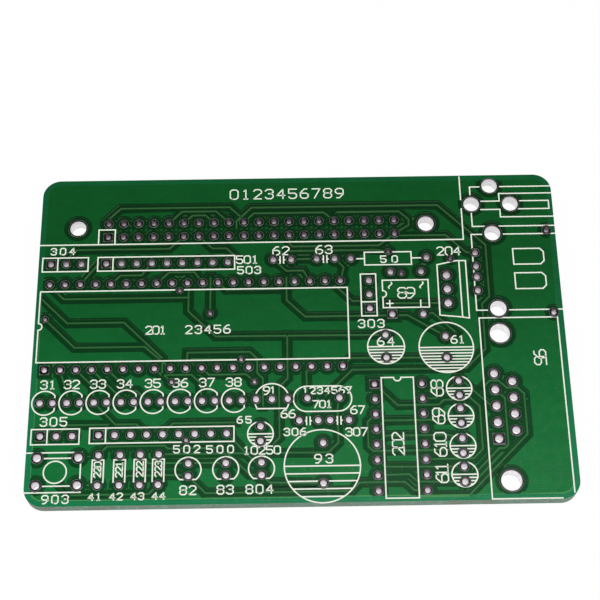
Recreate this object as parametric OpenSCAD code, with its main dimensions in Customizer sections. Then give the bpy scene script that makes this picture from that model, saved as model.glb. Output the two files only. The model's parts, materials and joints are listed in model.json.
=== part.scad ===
// Bare double-sided circuit board for a USB control unit: laminate, copper, solder mask,
// printed component outlines and a tinned, plated barrel in every drilled hole.
// Millimetres, +Z up. The origin is the middle of the board's underside.

/* [Board] */
// Length of the board, left to right
board_l = 86.8; // [86.8:0.1:120]
// Width of the board, front to back
board_w = 57.6; // [57.6:0.1:90]
// Thickness of the bare glass-epoxy laminate
laminate_t = 2.24; // [0.8:0.01:3.2]
// Radius of the board's corners
corner_r = 3; // [1:0.1:3.4]
// Layout origin (first hole, back row, of the processor) from the left edge
origin_from_left = 2.05; // [2:0.05:3]
// Layout origin from the back edge
origin_from_back = 19.6; // [19.4:0.05:20]

/* [Copper] */
// Thickness of the finished copper, tin included
copper_t = 0.05; // [0.035:0.005:0.1]
// Width of a track
track_w = 0.25; // [0.15:0.01:0.4]
// Bare width between the copper fill and a track or a pad
copper_gap = 0.55; // [0.3:0.01:0.6]
// Bare border between the copper fill and the board's edge
edge_gap = 0.95; // [0.5:0.05:1.2]
// Wall of the tinned copper barrel in a drilled hole
plating_t = 0.05; // [0.02:0.005:0.08]

/* [Solder mask] */
// Mask on top of the copper
cover_t = 0.03; // [0.015:0.005:0.04]
// Mask between the tracks, where it lies on the bare laminate
valley_t = 0.035; // [0.02:0.005:0.035]
// Bare ring between a pad and the mask
mask_gap = 0.06; // [0.03:0.01:0.12]

/* [Printed outlines] */
// Thickness of the ink
ink_t = 0.02; // [0.01:0.005:0.05]
// Width of a printed line
ink_w = 0.22; // [0.15:0.01:0.4]
// Clear ring between ink and a pad
ink_gap = 0.18; // [0.05:0.01:0.2]
// Spacing of the close hatching inside capacitor outlines
hatch_pitch = 0.52; // [0.45:0.01:1]
// Spacing of the open hatching inside the buzzer outline
buzzer_hatch = 1.24; // [0.8:0.02:2]

/* [Hole sizes] */
// Hole for a pin of a chip or of the long header
chip_d = 0.85; // [0.6:0.05:0.9]
// Hole for another component's lead
lead_d = 1; // [0.7:0.05:1.1]
// Pad of a pin or a lead
lead_pad_d = 1.5; // [1.3:0.05:1.7]
// Hole for a heavier lead: regulator, switch and D connector
heavy_d = 1.25; // [1:0.05:1.4]
// Pad of a heavier lead
heavy_pad_d = 1.85; // [1.6:0.05:2.1]
// Hole for a tab of the USB socket's shell
shell_d = 2.7; // [2.3:0.05:2.8]
// Pad of a shell tab
shell_pad_d = 3.2; // [3:0.05:3.3]
// Hole for a contact of the power jack
jack_d = 2.65; // [2.2:0.05:2.8]
// Pad of a jack contact
jack_pad_d = 3.05; // [3:0.05:3.3]
// Hole for a screw of the D connector
screw_d = 3.3; // [3:0.05:3.4]
// Pad round a D connector screw
screw_pad_d = 3.7; // [3.6:0.05:3.8]
// Hole of a via
via_d = 0.6; // [0.3:0.05:0.7]
// Pad of a via
via_pad_d = 1.1; // [0.9:0.05:1.2]
// Hole for a screw that fixes the board
fixing_d = 2.7; // [2.4:0.05:2.9]
// Pad round a fixing hole
fixing_pad_d = 3.2; // [3.1:0.05:3.4]

/* [Footprints] */
// Spacing of holes in chip, header and jumper rows
pitch = 2.54; // [2.4:0.01:2.54]
// Holes in each row of the processor
processor_n = 20; // [10:1:20]
// Distance between the processor's two rows
processor_rows = 15.24; // [14.8:0.01:15.24]
// Columns of the long header
header_n = 20; // [10:1:20]
// Holes in each row of the line driver chip
driver_n = 8; // [4:1:8]
// Distance between the line driver's two rows
driver_rows = 7.62; // [7.4:0.01:7.8]
// Holes of a resistor pack
pack_n = 9; // [5:1:9]
// Number of lamps in the row
lamp_n = 8; // [4:1:8]
// Spacing of the lamps in their row
lamp_pitch = 4.33; // [4.25:0.01:4.35]
// Lead spacing of a lamp
lamp_leads = 2.05; // [1.9:0.01:2.1]
// Radius of a lamp's printed outline
lamp_r = 2.03; // [1.9:0.01:2.08]
// Lead spacing of an upright resistor
resistor_leads = 4.95; // [4.6:0.01:5.1]
// Lead spacing of the flat resistor
long_resistor_leads = 12.7; // [12.5:0.01:12.9]
// Lead spacing of a small ceramic capacitor
ceramic_leads = 3; // [2.9:0.01:3.1]
// Lead spacing of a small electrolytic capacitor
small_cap_leads = 2.45; // [2.3:0.01:2.5]
// Lead spacing of a large electrolytic capacitor
large_cap_leads = 4; // [3.9:0.01:4.1]
// Lead spacing of the largest electrolytic capacitor
main_cap_leads = 3.75; // [3.65:0.01:3.85]
// Spacing of the holes that fix the board
fixing_spacing = 58.75; // [58.2:0.05:59.2]
// Spacing of the D connector's screws
screw_spacing = 24.99; // [24.8:0.01:25.1]
// Spacing of the D connector's contacts along a row
d_pitch = 2.77; // [2.7:0.01:2.8]
// Distance between the D connector's two rows
d_rows = 2.84; // [2.8:0.01:3]
// D connector's screw line from the right edge
screw_from_right = 10.7; // [10.5:0.05:11]
// USB socket's contact row from the right edge
usb_from_right = 13.75; // [13.5:0.05:14]
// Spacing of the USB shell's tabs
shell_spacing = 13.9; // [13.7:0.05:14]
// Outer spacing of the USB contacts
usb_outer = 2.5; // [2.4:0.01:2.6]
// Inner spacing of the USB contacts
usb_inner = 2; // [1.9:0.01:2.1]

/* [Hidden] */
$fn = 32;

left = -board_l / 2;
right = board_l / 2;
front = -board_w / 2;
back = board_w / 2;
origin_x = left + origin_from_left;
origin_y = back - origin_from_back;

// Heights of the layers, from the underside up
laminate_z = copper_t + cover_t;
top_z = laminate_z + laminate_t;
ink_z = top_z + copper_t + cover_t;

// A point of the layout, from the layout origin, and one held by the right edge
function at(x, y) = [origin_x + x, origin_y + y];
function by_edge(x, y) = [right - x, origin_y + y];

// Rows of holes: n holes from a first one, a fixed step apart
function row(first, n, step) = [for (i = [0:n - 1]) first + i * step];
across = [pitch, 0];
down = [0, -pitch];

// Places of the holes, footprint by footprint
processor_at = at(0, 0);
processor_back = row(processor_at, processor_n, across);
processor_front = row(processor_at - [0, processor_rows], processor_n, across);
header_at = at(9.38, 8.66);
header_front = row(header_at, header_n, across);
header_back = row(header_at - down, header_n, across);
driver_at = at(53.25, -18.52);
driver_left = row(driver_at, driver_n, down);
driver_right = row(driver_at + [driver_rows, 0], driver_n, down);
back_jumper = row(at(0, 3.75), 3, across);
front_jumper = row(at(-0.03, -26.5), 3, across);
side_jumper = row(at(53, -5.13), 3, -down);
back_pack = row(at(9.22, 3.75), pack_n, across);
front_pack = row(at(9.22, -26.43), pack_n, across);
upright_resistors = [for (x = [9.37, 12.76, 15.95, 18.85]) at(x, -29.75)];
flat_resistor = at(50.1, 4.1);
lamps = row(at(-0.43, -20.9), lamp_n, [lamp_pitch, 0]);
indicators = [for (x = [23.52, 29.42, 35.02]) at(x, -31.32)];
ceramics = [at(37.15, 4.08), at(44.4, 4.1), at(41.07, -24.47), at(45.97, -24.47)];
small_caps = [for (y = [-18.13, -22.83, -27.83, -32.53]) at(66.8, y)];
timing_cap = at(34.88, -25.35);
large_cap = at(55.37, -9.9);
main_cap = at(65.15, -10.3);
crystal = [at(42.43, -20.69), at(47.55, -20.69)];
transistor = row(at(34.2, -20.76), 3, across);
buzzer = [at(44.77, -28.25), at(44.68, -34.88)];
bridge_at = at(56.65, -6.27);
bridge_side = [5.1, 7.75];
regulator = row(at(65.95, 0.72), 3, down);
switch_at = at(-0.27, -30.1);
switch_side = [6.5, 4.5];
usb_at = by_edge(usb_from_right, 1.3);
usb_contacts = [
    for (y = [usb_inner / 2 + usb_outer, usb_inner / 2, -usb_inner / 2, -usb_inner / 2 - usb_outer])
        usb_at + [0, y]
];
shell_at = usb_at + [3.13, 0.16];
jack_at = by_edge(10.52, 17.5);
jack_contacts = [jack_at, jack_at + [-3.3, -3.5], jack_at + [3.3, -3.5]];
d_middle = by_edge(screw_from_right, -22.43);
d_first = d_middle + [-1.46, -0.1];
d_left = row(d_first - [0, 2 * d_pitch], 5, [0, d_pitch]);
d_right = row(d_first + [d_rows, -1.5 * d_pitch], 4, [0, d_pitch]);
d_screws = [for (s = [1, -1]) d_middle + [0, s * screw_spacing / 2]];
fixings = row(at(4.25, 10.42), 2, [fixing_spacing, 0]);
edge_points = [by_edge(1.45, 8.83), by_edge(1.53, -6.35)];
via_points = [
    at(21.6, -1.35), at(26.7, -5.6), at(-0.4, -6.3), at(31.8, -13.85), at(20.6, -17.6),
    at(33.95, -17.75), at(23.1, -27.5), at(56.4, 5.25), at(58.45, 1.2), at(66.75, 3.78)
];

// A footprint is its hole points, hole diameter, pad diameter and which pads are square
function pairs(firsts, step) = [for (p = firsts) each [p, p + step]];
processor = [concat(processor_back, processor_front), chip_d, lead_pad_d, [processor_n]];
header = [concat(header_front, header_back), chip_d, lead_pad_d, [0]];
driver = [concat(driver_left, driver_right), chip_d, lead_pad_d, [0]];
jumpers = [concat(back_jumper, front_jumper, side_jumper), lead_d, lead_pad_d, [0, 3, 6]];
packs = [concat(back_pack, front_pack), lead_d, lead_pad_d, [0, pack_n]];
resistors = [
    concat(
        pairs(upright_resistors, [0, -resistor_leads]),
        [flat_resistor, flat_resistor + [long_resistor_leads, 0]]
    ),
    lead_d, lead_pad_d, []
];
lamp_row = [pairs(lamps, [lamp_leads, 0]), lead_d, lead_pad_d, []];
indicator_row = [pairs(indicators, [0, -lamp_leads]), lead_d, lead_pad_d, []];
ceramic_caps = [pairs(ceramics, [ceramic_leads, 0]), lead_d, lead_pad_d, []];
electrolytic_caps = [
    concat(
        pairs(concat(small_caps, [timing_cap]), [0, -small_cap_leads]),
        pairs([large_cap], [0, -large_cap_leads]),
        pairs([main_cap], [0, -main_cap_leads])
    ),
    lead_d, lead_pad_d, []
];
crystal_leads = [crystal, lead_d, lead_pad_d, []];
transistor_leads = [transistor, lead_d, lead_pad_d, []];
buzzer_leads = [buzzer, lead_d, lead_pad_d, []];
bridge = [
    [bridge_at, bridge_at + [bridge_side.x, 0], bridge_at + [0, bridge_side.y], bridge_at + bridge_side],
    lead_d, lead_pad_d, [0]
];
regulator_leads = [regulator, heavy_d, heavy_pad_d, []];
switch = [
    pairs([switch_at, switch_at + [switch_side.x, 0]], [0, -switch_side.y]),
    heavy_d, heavy_pad_d, []
];
usb_leads = [usb_contacts, lead_d, lead_pad_d, []];
usb_shell = [[for (s = [1, -1]) shell_at + [0, s * shell_spacing / 2]], shell_d, shell_pad_d, []];
power_jack = [jack_contacts, jack_d, jack_pad_d, []];
d_contacts = [concat(d_left, d_right), heavy_d, heavy_pad_d, [0]];
d_fixings = [d_screws, screw_d, screw_pad_d, []];
fixing_set = [fixings, fixing_d, fixing_pad_d, []];
edge_set = [edge_points, chip_d, lead_pad_d, []];
via_set = [via_points, via_d, via_pad_d, []];

FOOTPRINTS = [
    processor, header, driver, jumpers, packs, resistors, lamp_row, indicator_row, ceramic_caps,
    electrolytic_caps, crystal_leads, transistor_leads, buzzer_leads, bridge, regulator_leads,
    switch, usb_leads, usb_shell, power_jack, d_contacts, d_fixings, fixing_set, edge_set, via_set
];

// Tracks on the top side, each a route of straight runs between pads and vias
tracks = [
    [header_back[0], at(9.38, 12.2), at(11.3, 14.1), at(29.8, 14.1), at(31.75, 12.15)],
    [header_back[4], at(21.7, 13.35), at(27.5, 13.35), header_back[8]],
    [header_back[5], at(23.5, 12.6), at(25.7, 12.6), header_back[7]],
    [header_back[9], at(33.9, 12.85), at(45.8, 12.85), header_back[15]],
    [at(47.9, 12.85), at(58.5, 12.85), at(60.1, 11.3), at(60.1, 10.2), header_front[19]],
    [at(30.97, 9.9), at(30.97, 11.4), at(33.5, 13.95), at(65.1, 13.95), by_edge(11.95, 6.25),
        by_edge(11.95, -3.3), by_edge(13.25, -4.6), by_edge(13.25, -12.65), at(68.2, -15.95),
        at(49.75, -15.95), at(45.2, -20.5)],
    [header_front[19], at(58.1, 8.2), at(66.2, 8.2), at(69.5, 4.9), usb_contacts[0]],
    [back_jumper[1], at(2.54, 4.7), at(4.2, 6.35), at(19.7, 6.35), header_front[5]],
    [header_front[6], at(26.95, 6.3), at(29.3, 6.3), at(31.4, 4.2)],
    [header_front[12], at(39.86, 7), at(40.4, 6.45), at(54.9, 6.45), header_front[19]],
    [at(39.6, 5.6), at(54.3, 5.6), via_points[7]],
    [ceramics[0] + [ceramic_leads, 0], ceramics[1]],
    [ceramics[0], at(39.3, 1.95), at(42.1, 1.95), processor_back[17]],
    [ceramics[1] + [ceramic_leads, 0], at(48.9, 2.4), processor_back[19]],
    [back_pack[0], at(8, 3.8), processor_back[2]],
    [processor_back[4], at(11.65, 1.5), at(15.2, 1.5), back_pack[3]],
    [processor_back[7], at(19.75, 1.95), at(24, 1.95), processor_back[10]],
    [at(1.3, -1.5), at(2.5, -2.7), at(23.1, -2.7)],
    [at(23.1, -0.9), at(23.1, -5.2), at(27.65, -9.75), large_cap],
    [at(-1, -2.75), at(3.3, -7.05), at(12.6, -7.05), at(19.05, -13.5), at(19.05, -16.1), via_points[4]],
    [via_points[2], at(4.7, -11.4), at(16.1, -11.4), processor_front[8]],
    [processor_front[9], at(23.1, -12.55), at(33.2, -12.55), at(34.4, -13.75), at(34.4, -16.3),
        at(35.3, -17.2), at(35.3, -22)],
    [at(23.6, -13.65), via_points[3]],
    [at(26.7, 1), via_points[1]],
    [processor_back[11], at(29.3, -1.4), at(38, -1.4), processor_back[15]],
    [at(39.3, 0.9), at(39.3, -3.45), at(42.3, -6.45), at(59.1, -6.45), main_cap],
    [at(47.2, -0.8), at(50.15, -3.75), at(51.6, -3.75), side_jumper[0]],
    [at(55.6, -4.25), regulator[2]],
    [bridge_at + [bridge_side.x, 0], at(63.3, -6.1), at(66.9, -9.7)],
    [processor_front[19], at(49.6, -13.9), main_cap - [0, main_cap_leads]],
    [at(39.3, -9.75), at(39.3, -17.3), at(37.9, -18.7), at(37.9, -27.3), at(36.8, -28.4)],
    [processor_front[17], at(42.3, -16.2), crystal[0]],
    [processor_front[10], at(26.6, -16.45), at(32.6, -16.45), via_points[5]],
    [processor_front[7], at(18.95, -16.4), at(23.8, -16.4), at(25.2, -17.8), lamps[6]],
    [processor_front[1], lamps[1] + [0, 1.5], lamps[1]],
    [processor_front[2], at(8.05, -18.25), lamps[2]],
    [processor_front[3], at(12.3, -19.9), lamps[3]],
    [processor_front[4], at(13.95, -19.05), at(15.1, -19.05), lamps[4]],
    [front_jumper[1], at(4.1, -24.7), at(10.9, -24.7)],
    [lamps[2], at(11.85, -24.7), at(15.2, -24.7), front_pack[3]],
    [front_pack[4], at(20.95, -24.65), at(30.9, -24.65)],
    [at(9.9, -29.1), at(10.6, -28.35), at(19.8, -28.35), at(20.3, -28.85), at(28.9, -28.85)],
    [upright_resistors[3], at(45.6, -29.85), at(47.2, -28.25), at(47.2, -22.4), crystal[1]],
    [upright_resistors[2], at(17.3, -31.2), indicators[1]],
    [upright_resistors[1] - [0, resistor_leads], at(13.9, -33.2), at(23.2, -33.2)],
    [at(3.9, -34.9), at(5.2, -36.2), at(17.4, -36.2), upright_resistors[3] - [0, resistor_leads]],
    [indicators[0] - [0, lamp_leads], at(26.3, -36.2), at(49, -36.2), at(50.35, -34.85),
        at(57.4, -34.85), at(58.8, -36.25), driver_right[7]],
    [front_pack[8], at(33.9, -31.2), indicators[2]],
    [at(29.3, -29.4), at(33.2, -33.3), indicators[2] - [0, lamp_leads]],
    [indicators[2] - [0, lamp_leads], at(36.3, -34.65), buzzer[1]],
    [driver_left[0], at(56.85, -22.15), at(63.4, -22.15), at(64.2, -21.35), at(65.6, -21.35),
        small_caps[0] - [0, small_cap_leads]],
    [driver_right[1], at(63, -21.04), small_caps[0]],
    [driver_left[3], at(54.6, -24.7), at(66, -24.7), small_caps[1] - [0, small_cap_leads]],
    [driver_left[2], at(51.9, -24.87), at(51.9, -29), at(52.65, -29.75), at(66, -29.75),
        small_caps[2] - [0, small_cap_leads]],
    [driver_left[4], at(54.6, -27.25), at(64.5, -27.25), small_caps[2]],
    [driver_left[5], at(54.35, -32.35), small_caps[3]],
    [driver_left[6], at(58.1, -33.6), at(59.35, -34.85), small_caps[3] - [0, small_cap_leads]],
    [driver_right[5], at(68.4, -31.2), at(69.9, -29.7), at(69.9, -22.5), at(68.1, -20.7)],
    [small_caps[0], at(67.5, -18.2), d_left[2] - [0.85, 0], d_left[2]],
    [at(59.9, -37.2), at(67.3, -37.2), by_edge(7.6, -27.3), by_edge(7.6, -20.45),
        by_edge(8.6, -19.45), by_edge(10.3, -19.45), by_edge(11.55, -18.2),
        by_edge(13, -18.2), by_edge(13.9, -19.1)],
    [at(67.8, -34.3), by_edge(12.25, -29.6), by_edge(11.35, -29.6), by_edge(10.75, -29),
        by_edge(10.75, -21.2), d_left[3]]
];

// Outline of a line of width w along a route, with mitred bends and ends run on by cap
function unit(a, b) = (b - a) / norm(b - a);
function turned(v) = [-v.y, v.x];
function side(path, h, cap) = [
    for (i = [0:len(path) - 1])
        let (
            last = len(path) - 1,
            into = unit(path[max(i - 1, 0)], path[max(i, 1)]),
            out = unit(path[min(i, last - 1)], path[min(i + 1, last)]),
            run_on = i == 0 ? -out * cap : i == last ? into * cap : [0, 0],
            n = turned(into) + turned(out)
        )
        path[i] + run_on + n * h / (1 + turned(into) * turned(out))
];
function reversed(list) = [for (i = [len(list) - 1:-1:0]) list[i]];

module line(path, w, cap) {
    polygon(concat(side(path, w / 2, cap), reversed(side(path, -w / 2, cap))));
}

module rounded(inset) {
    r = corner_r - inset;
    l = board_l - 2 * inset;
    w = board_w - 2 * inset;
    square([l - 2 * r, w], center = true);
    square([l, w - 2 * r], center = true);
    for (x = [-1, 1], y = [-1, 1])
        translate([x * (l / 2 - r), y * (w / 2 - r)])
            circle(r);
}

// Every pad of the board, grown all round by extra
module pad_shapes(extra) {
    for (f = FOOTPRINTS, i = [0:len(f[0]) - 1])
        translate(f[0][i])
            if (len(search(i, f[3])) > 0)
                square(f[2] + 2 * extra, center = true);
            else
                circle(d = f[2] + 2 * extra);
}

module track_shapes(extra) {
    for (t = tracks)
        line(t, track_w + 2 * extra, track_w / 2 + extra);
}

// The top side's copper: a fill cut back from tracks and pads, and the tracks themselves
module top_copper_shape() {
    difference() {
        union() {
            difference() {
                rounded(edge_gap);
                track_shapes(copper_gap);
                pad_shapes(copper_gap);
            }
            track_shapes(0);
        }
        pad_shapes(0);
    }
}

// The underside's copper: a plain fill with a bare ring round every pad
module bottom_copper_shape() {
    difference() {
        rounded(edge_gap);
        pad_shapes(copper_gap);
    }
}

module laminate() {
    color("darkkhaki")
        translate([0, 0, laminate_z])
            linear_extrude(laminate_t)
                difference() {
                    rounded(0);
                    for (f = FOOTPRINTS, p = f[0])
                        translate(p)
                            circle(d = f[1] + 2 * plating_t);
                }
}

module copper_top() {
    color("peru")
        translate([0, 0, top_z])
            linear_extrude(copper_t)
                top_copper_shape();
}

module copper_bottom() {
    color("peru")
        translate([0, 0, laminate_z - copper_t])
            linear_extrude(copper_t)
                bottom_copper_shape();
}

// Mask that follows the copper given as its child: one film on it, one between its edges
module film(cover_from, valley_from) {
    translate([0, 0, cover_from])
        linear_extrude(cover_t)
            difference() {
                children();
                pad_shapes(mask_gap);
            }
    translate([0, 0, valley_from])
        linear_extrude(valley_t)
            difference() {
                rounded(0);
                children();
                pad_shapes(mask_gap);
            }
}

module mask_top() {
    color("seagreen")
        film(top_z + copper_t, top_z)
            top_copper_shape();
}

module mask_bottom() {
    color("seagreen")
        film(0, laminate_z - valley_t)
            bottom_copper_shape();
}

// The boxes are printed a little left of and in front of the holes they frame
print_shift = [-0.12, -0.12];

// Strokes of the printed outlines
module pen(path) {
    line(path, ink_w, ink_w / 2);
}

// Closed line through the corners of a shape, given counter-clockwise
function grown(corners, h) = [
    for (i = [0:len(corners) - 1])
        let (
            n = len(corners),
            into = unit(corners[(i + n - 1) % n], corners[i]),
            out = unit(corners[i], corners[(i + 1) % n]),
            inward = turned(into) + turned(out)
        )
        corners[i] - inward * h / (1 + turned(into) * turned(out))
];

module closed_pen(corners) {
    difference() {
        polygon(grown(corners, ink_w / 2));
        polygon(grown(corners, -ink_w / 2));
    }
}

module box_line(a, b) {
    h = [ink_w, ink_w] / 2;
    difference() {
        translate(a - h)
            square(b - a + 2 * h);
        translate(a + h)
            square(b - a - 2 * h);
    }
}

module ring_line(r) {
    difference() {
        circle(r + ink_w / 2);
        circle(r - ink_w / 2);
    }
}

// Box round a row of holes, with a line after its first hole
module row_box(holes, n) {
    margin = [pitch, pitch] / 2;
    first = holes[0] + print_shift;
    step = holes[1] - holes[0];
    middle = first + step / 2;
    across_row = step.x == 0 ? [pitch / 2, 0] : [0, pitch / 2];
    box_line(first - margin, first + (n - 1) * step + margin);
    line([middle - across_row, middle + across_row], ink_w, 0);
}

// Box of a chip, with a half-round notch that bulges inwards along angle
module chip_box(a, b, notch, notch_r, angle) {
    difference() {
        box_line(a, b);
        translate(notch)
            circle(notch_r);
    }
    translate(notch)
        rotate(angle)
            difference() {
                ring_line(notch_r);
                translate([-2 * notch_r - ink_w / 2, -notch_r - ink_w])
                    square([2 * notch_r, 2 * (notch_r + ink_w)]);
            }
}

// Round outline with one flat, which faces +X before turning
module flat_ring(r, flat) {
    chord = sqrt(r * r - flat * flat);
    difference() {
        ring_line(r);
        translate([flat, -r - ink_w])
            square([r, 2 * (r + ink_w)]);
    }
    pen([[flat, -chord], [flat, chord]]);
}

// Round outline with lines across its lower half, from its middle down
module hatched_ring(r, step) {
    ring_line(r);
    for (y = [0:-step:step / 2 - r]) {
        chord = sqrt(r * r - y * y);
        line([[-chord, y], [chord, y]], ink_w, 0);
    }
}

module stadium(a, b, r) {
    translate(a)
        circle(r);
    translate(b)
        circle(r);
    translate([a.x, a.y - r])
        square([b.x - a.x, 2 * r]);
}

module header_outline() {
    corner = at(69.17, 7.3);
    jack_y = jack_contacts[1].y;
    pen([[left + ink_w / 2, corner.y], corner, [corner.x, jack_y - 0.9]]);
    pen([[corner.x, jack_y + 0.9], [corner.x, back - 0.3]]);
    box_line(header_at - [1.6, 1.36], header_at + [1.15, 1.4]);
}

module jumper_outlines() {
    row_box(back_jumper, 3);
    row_box(front_jumper, 3);
    row_box(side_jumper, 3);
    row_box(back_pack, pack_n);
    row_box(front_pack, pack_n);
}

module processor_outline() {
    inset = 1.3;
    a = processor_front[0] + [-1.42, inset];
    b = processor_back[processor_n - 1] + [1.1, -inset];
    chip_box(a, b, [a.x, (a.y + b.y) / 2], 0.6, 0);
}

module driver_outline() {
    a = driver_left[driver_n - 1] + [1.1, -1.2];
    b = driver_right[0] + [-1.35, 1.1];
    chip_box(a, b, [(a.x + b.x) / 2, b.y], 0.6, -90);
}

module bridge_outline() {
    a = bridge_at + [-1.45, 1.17];
    b = bridge_at + [bridge_side.x + 1.05, bridge_side.y - 1.58];
    plus = a + [1.1, 0.75];
    arm = 0.5;
    chip_box(a, b, [a.x, (a.y + b.y) / 2], 0.6, 0);
    pen([plus - [arm, 0], plus + [arm, 0]]);
    pen([plus - [0, arm], plus + [0, arm]]);
    pen([plus + [bridge_side.x, -arm], plus + [bridge_side.x, arm]]);
}

module regulator_outline() {
    first = regulator[0];
    tab_x = first.x + 2.2;
    closed_pen([
        first + [-1.5, 1.9], first + [-1.5, -7.3], first + [2.2, -7.7], first + [3.3, -7.9],
        first + [3.3, 2.6], first + [1.7, 2.6]
    ]);
    line([[tab_x, first.y + 2.6], [tab_x, first.y - 7.7]], ink_w, 0);
}

module resistor_outlines() {
    start = flat_resistor - [0, 0.15];
    end = start + [long_resistor_leads, 0];
    half = 1.18;
    a = start + [2.3, -half];
    b = end + [-2.58, half];
    box_line(a, b);
    pen([start, [a.x, start.y]]);
    pen([[b.x, end.y], end]);
    for (p = upright_resistors)
        box_line(p + [-0.9, 0.5 - resistor_leads], p + [0.9, -0.82]);
}

module lamp_outlines() {
    flat = 1.6;
    for (p = lamps)
        translate(p + [0.82, -0.02])
            flat_ring(lamp_r, flat);
    for (p = indicators)
        translate(p - [0, 1.05])
            rotate(-90)
                flat_ring(lamp_r, flat);
    translate(transistor[1] - [0, 0.18])
        rotate(-90)
            flat_ring(2.77, 1.48);
}

module capacitor_outlines() {
    plate = [0.29, 0.62];
    tick = 0.3;
    lower = 0.12;
    for (p = ceramics, s = [-1, 1]) {
        middle = p + [ceramic_leads / 2 - 0.07 + s * plate.x, -lower];
        pen([middle - [0, plate.y], middle + [0, plate.y]]);
        line([middle, middle + [s * tick, 0]], ink_w, 0);
    }
    for (p = concat(small_caps, [timing_cap]))
        translate(p - [0, small_cap_leads / 2 + 0.07])
            hatched_ring(2.03, hatch_pitch);
    translate(large_cap - [0, large_cap_leads / 2 + lower])
        hatched_ring(3, hatch_pitch);
    translate(main_cap - [0, main_cap_leads / 2 + lower])
        hatched_ring(4.42, hatch_pitch);
    translate(at(44.56, -32.08))
        hatched_ring(5.98, buzzer_hatch);
}

module crystal_outline() {
    r = 2.15;
    a = crystal[0] - [0.11, 0.17];
    b = crystal[1] - [0.2, 0.17];
    difference() {
        stadium(a, b, r + ink_w / 2);
        stadium(a, b, r - ink_w / 2);
    }
}

module switch_outline() {
    edge_x = left + ink_w / 2;
    side_x = switch_at.x + switch_side.x + 0.42;
    for (y = [0.85, -switch_side.y - 1.15])
        pen([[edge_x, switch_at.y + y], [side_x + 0.15, switch_at.y + y]]);
    for (y = [-0.08, -switch_side.y - 0.12])
        pen([switch_at + [0.95, y], switch_at + [switch_side.x - 1.15, y]]);
    line([[side_x, switch_at.y], [side_x, switch_at.y - switch_side.y]], ink_w, 0);
    translate(switch_at + [2.95, -2.35])
        ring_line(1.8);
}

module usb_outline() {
    contact_x = usb_at.x - 0.47;
    edge_x = right - ink_w / 2;
    middle_y = usb_at.y - 0.12;
    half = 7;
    for (s = [-1, 1])
        pen([[contact_x, middle_y + s * half], [edge_x, middle_y + s * half]]);
    for (y = [2.65, -1.85]) {
        slot = usb_at + [6.3, y];
        closed_pen([
            slot + [0, -1.45], slot + [4.5, -1.45], slot + [5.1, -0.85], slot + [5.1, 0.85],
            slot + [4.5, 1.45], slot + [0, 1.45]
        ]);
    }
    pen([[contact_x, middle_y - half], [contact_x, middle_y + half]]);
}

module jack_outline() {
    edge_x = right - ink_w / 2;
    corner = jack_at - [3.4, 0.2];
    pen([[edge_x, corner.y], corner, corner - [0, 7.6], [edge_x, corner.y - 7.6]]);
    for (s = [-1, 1]) {
        y = jack_at.y - 3.8;
        pen([
            [edge_x, y + s * 2.25], [jack_at.x + 1.5, y + s * 2.25],
            [jack_at.x + 1.5, y + s * 0.8], [jack_at.x - 1.7, y + s * 0.8]
        ]);
    }
    box_line([jack_at.x + 3.3, jack_at.y - 4.55], [right - 0.65, jack_at.y - 3]);
}

module d_outline() {
    left_x = d_left[0].x - 1.77;
    right_x = right - 1.05;
    back_y = origin_y - 7.2;
    front_y = front + ink_w / 2 + 0.02;
    pen([
        [right - corner_r, front_y], [left_x, front_y], [left_x, back_y], [right_x, back_y],
        [right_x, front + 0.35 * corner_r]
    ]);
}

module outline_ink() {
    color("whitesmoke")
        translate([0, 0, ink_z])
            linear_extrude(ink_t)
                difference() {
                    union() {
                        header_outline();
                        jumper_outlines();
                        processor_outline();
                        driver_outline();
                        bridge_outline();
                        regulator_outline();
                        resistor_outlines();
                        lamp_outlines();
                        capacitor_outlines();
                        crystal_outline();
                        switch_outline();
                        usb_outline();
                        jack_outline();
                        d_outline();
                    }
                    pad_shapes(ink_gap);
                }
}

// A plated hole: a barrel through the laminate with a pad on each side
module plated_hole(hole_d, pad_d, is_square) {
    r = hole_d / 2;
    pad_r = pad_d / 2;
    upper = top_z + copper_t;
    lower = laminate_z - copper_t;
    if (is_square)
        difference() {
            union() {
                for (z = [lower, top_z])
                    translate([-pad_r, -pad_r, z])
                        cube([pad_d, pad_d, copper_t]);
                translate([0, 0, lower])
                    cylinder(upper - lower, r = r + plating_t);
            }
            translate([0, 0, lower - 1])
                cylinder(upper - lower + 2, r = r);
        }
    else
        rotate_extrude()
            polygon([
                [r, lower], [pad_r, lower], [pad_r, laminate_z], [r + plating_t, laminate_z],
                [r + plating_t, top_z], [pad_r, top_z], [pad_r, upper], [r, upper]
            ]);
}

module plated(footprint) {
    color("silver")
        for (i = [0:len(footprint[0]) - 1])
            translate(footprint[0][i])
                plated_hole(footprint[1], footprint[2], len(search(i, footprint[3])) > 0);
}

module processor_pads() plated(processor);
module header_pads() plated(header);
module driver_pads() plated(driver);
module jumper_pads() plated(jumpers);
module resistor_pack_pads() plated(packs);
module resistor_pads() plated(resistors);
module lamp_pads() plated(lamp_row);
module indicator_pads() plated(indicator_row);
module ceramic_capacitor_pads() plated(ceramic_caps);
module electrolytic_capacitor_pads() plated(electrolytic_caps);
module crystal_pads() plated(crystal_leads);
module transistor_pads() plated(transistor_leads);
module buzzer_pads() plated(buzzer_leads);
module bridge_pads() plated(bridge);
module regulator_pads() plated(regulator_leads);
module switch_pads() plated(switch);
module usb_contact_pads() plated(usb_leads);
module usb_shell_pads() plated(usb_shell);
module power_jack_pads() plated(power_jack);
module d_contact_pads() plated(d_contacts);
module d_screw_pads() plated(d_fixings);
module fixing_pads() plated(fixing_set);
module edge_pads() plated(edge_set);
module vias() plated(via_set);

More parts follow.
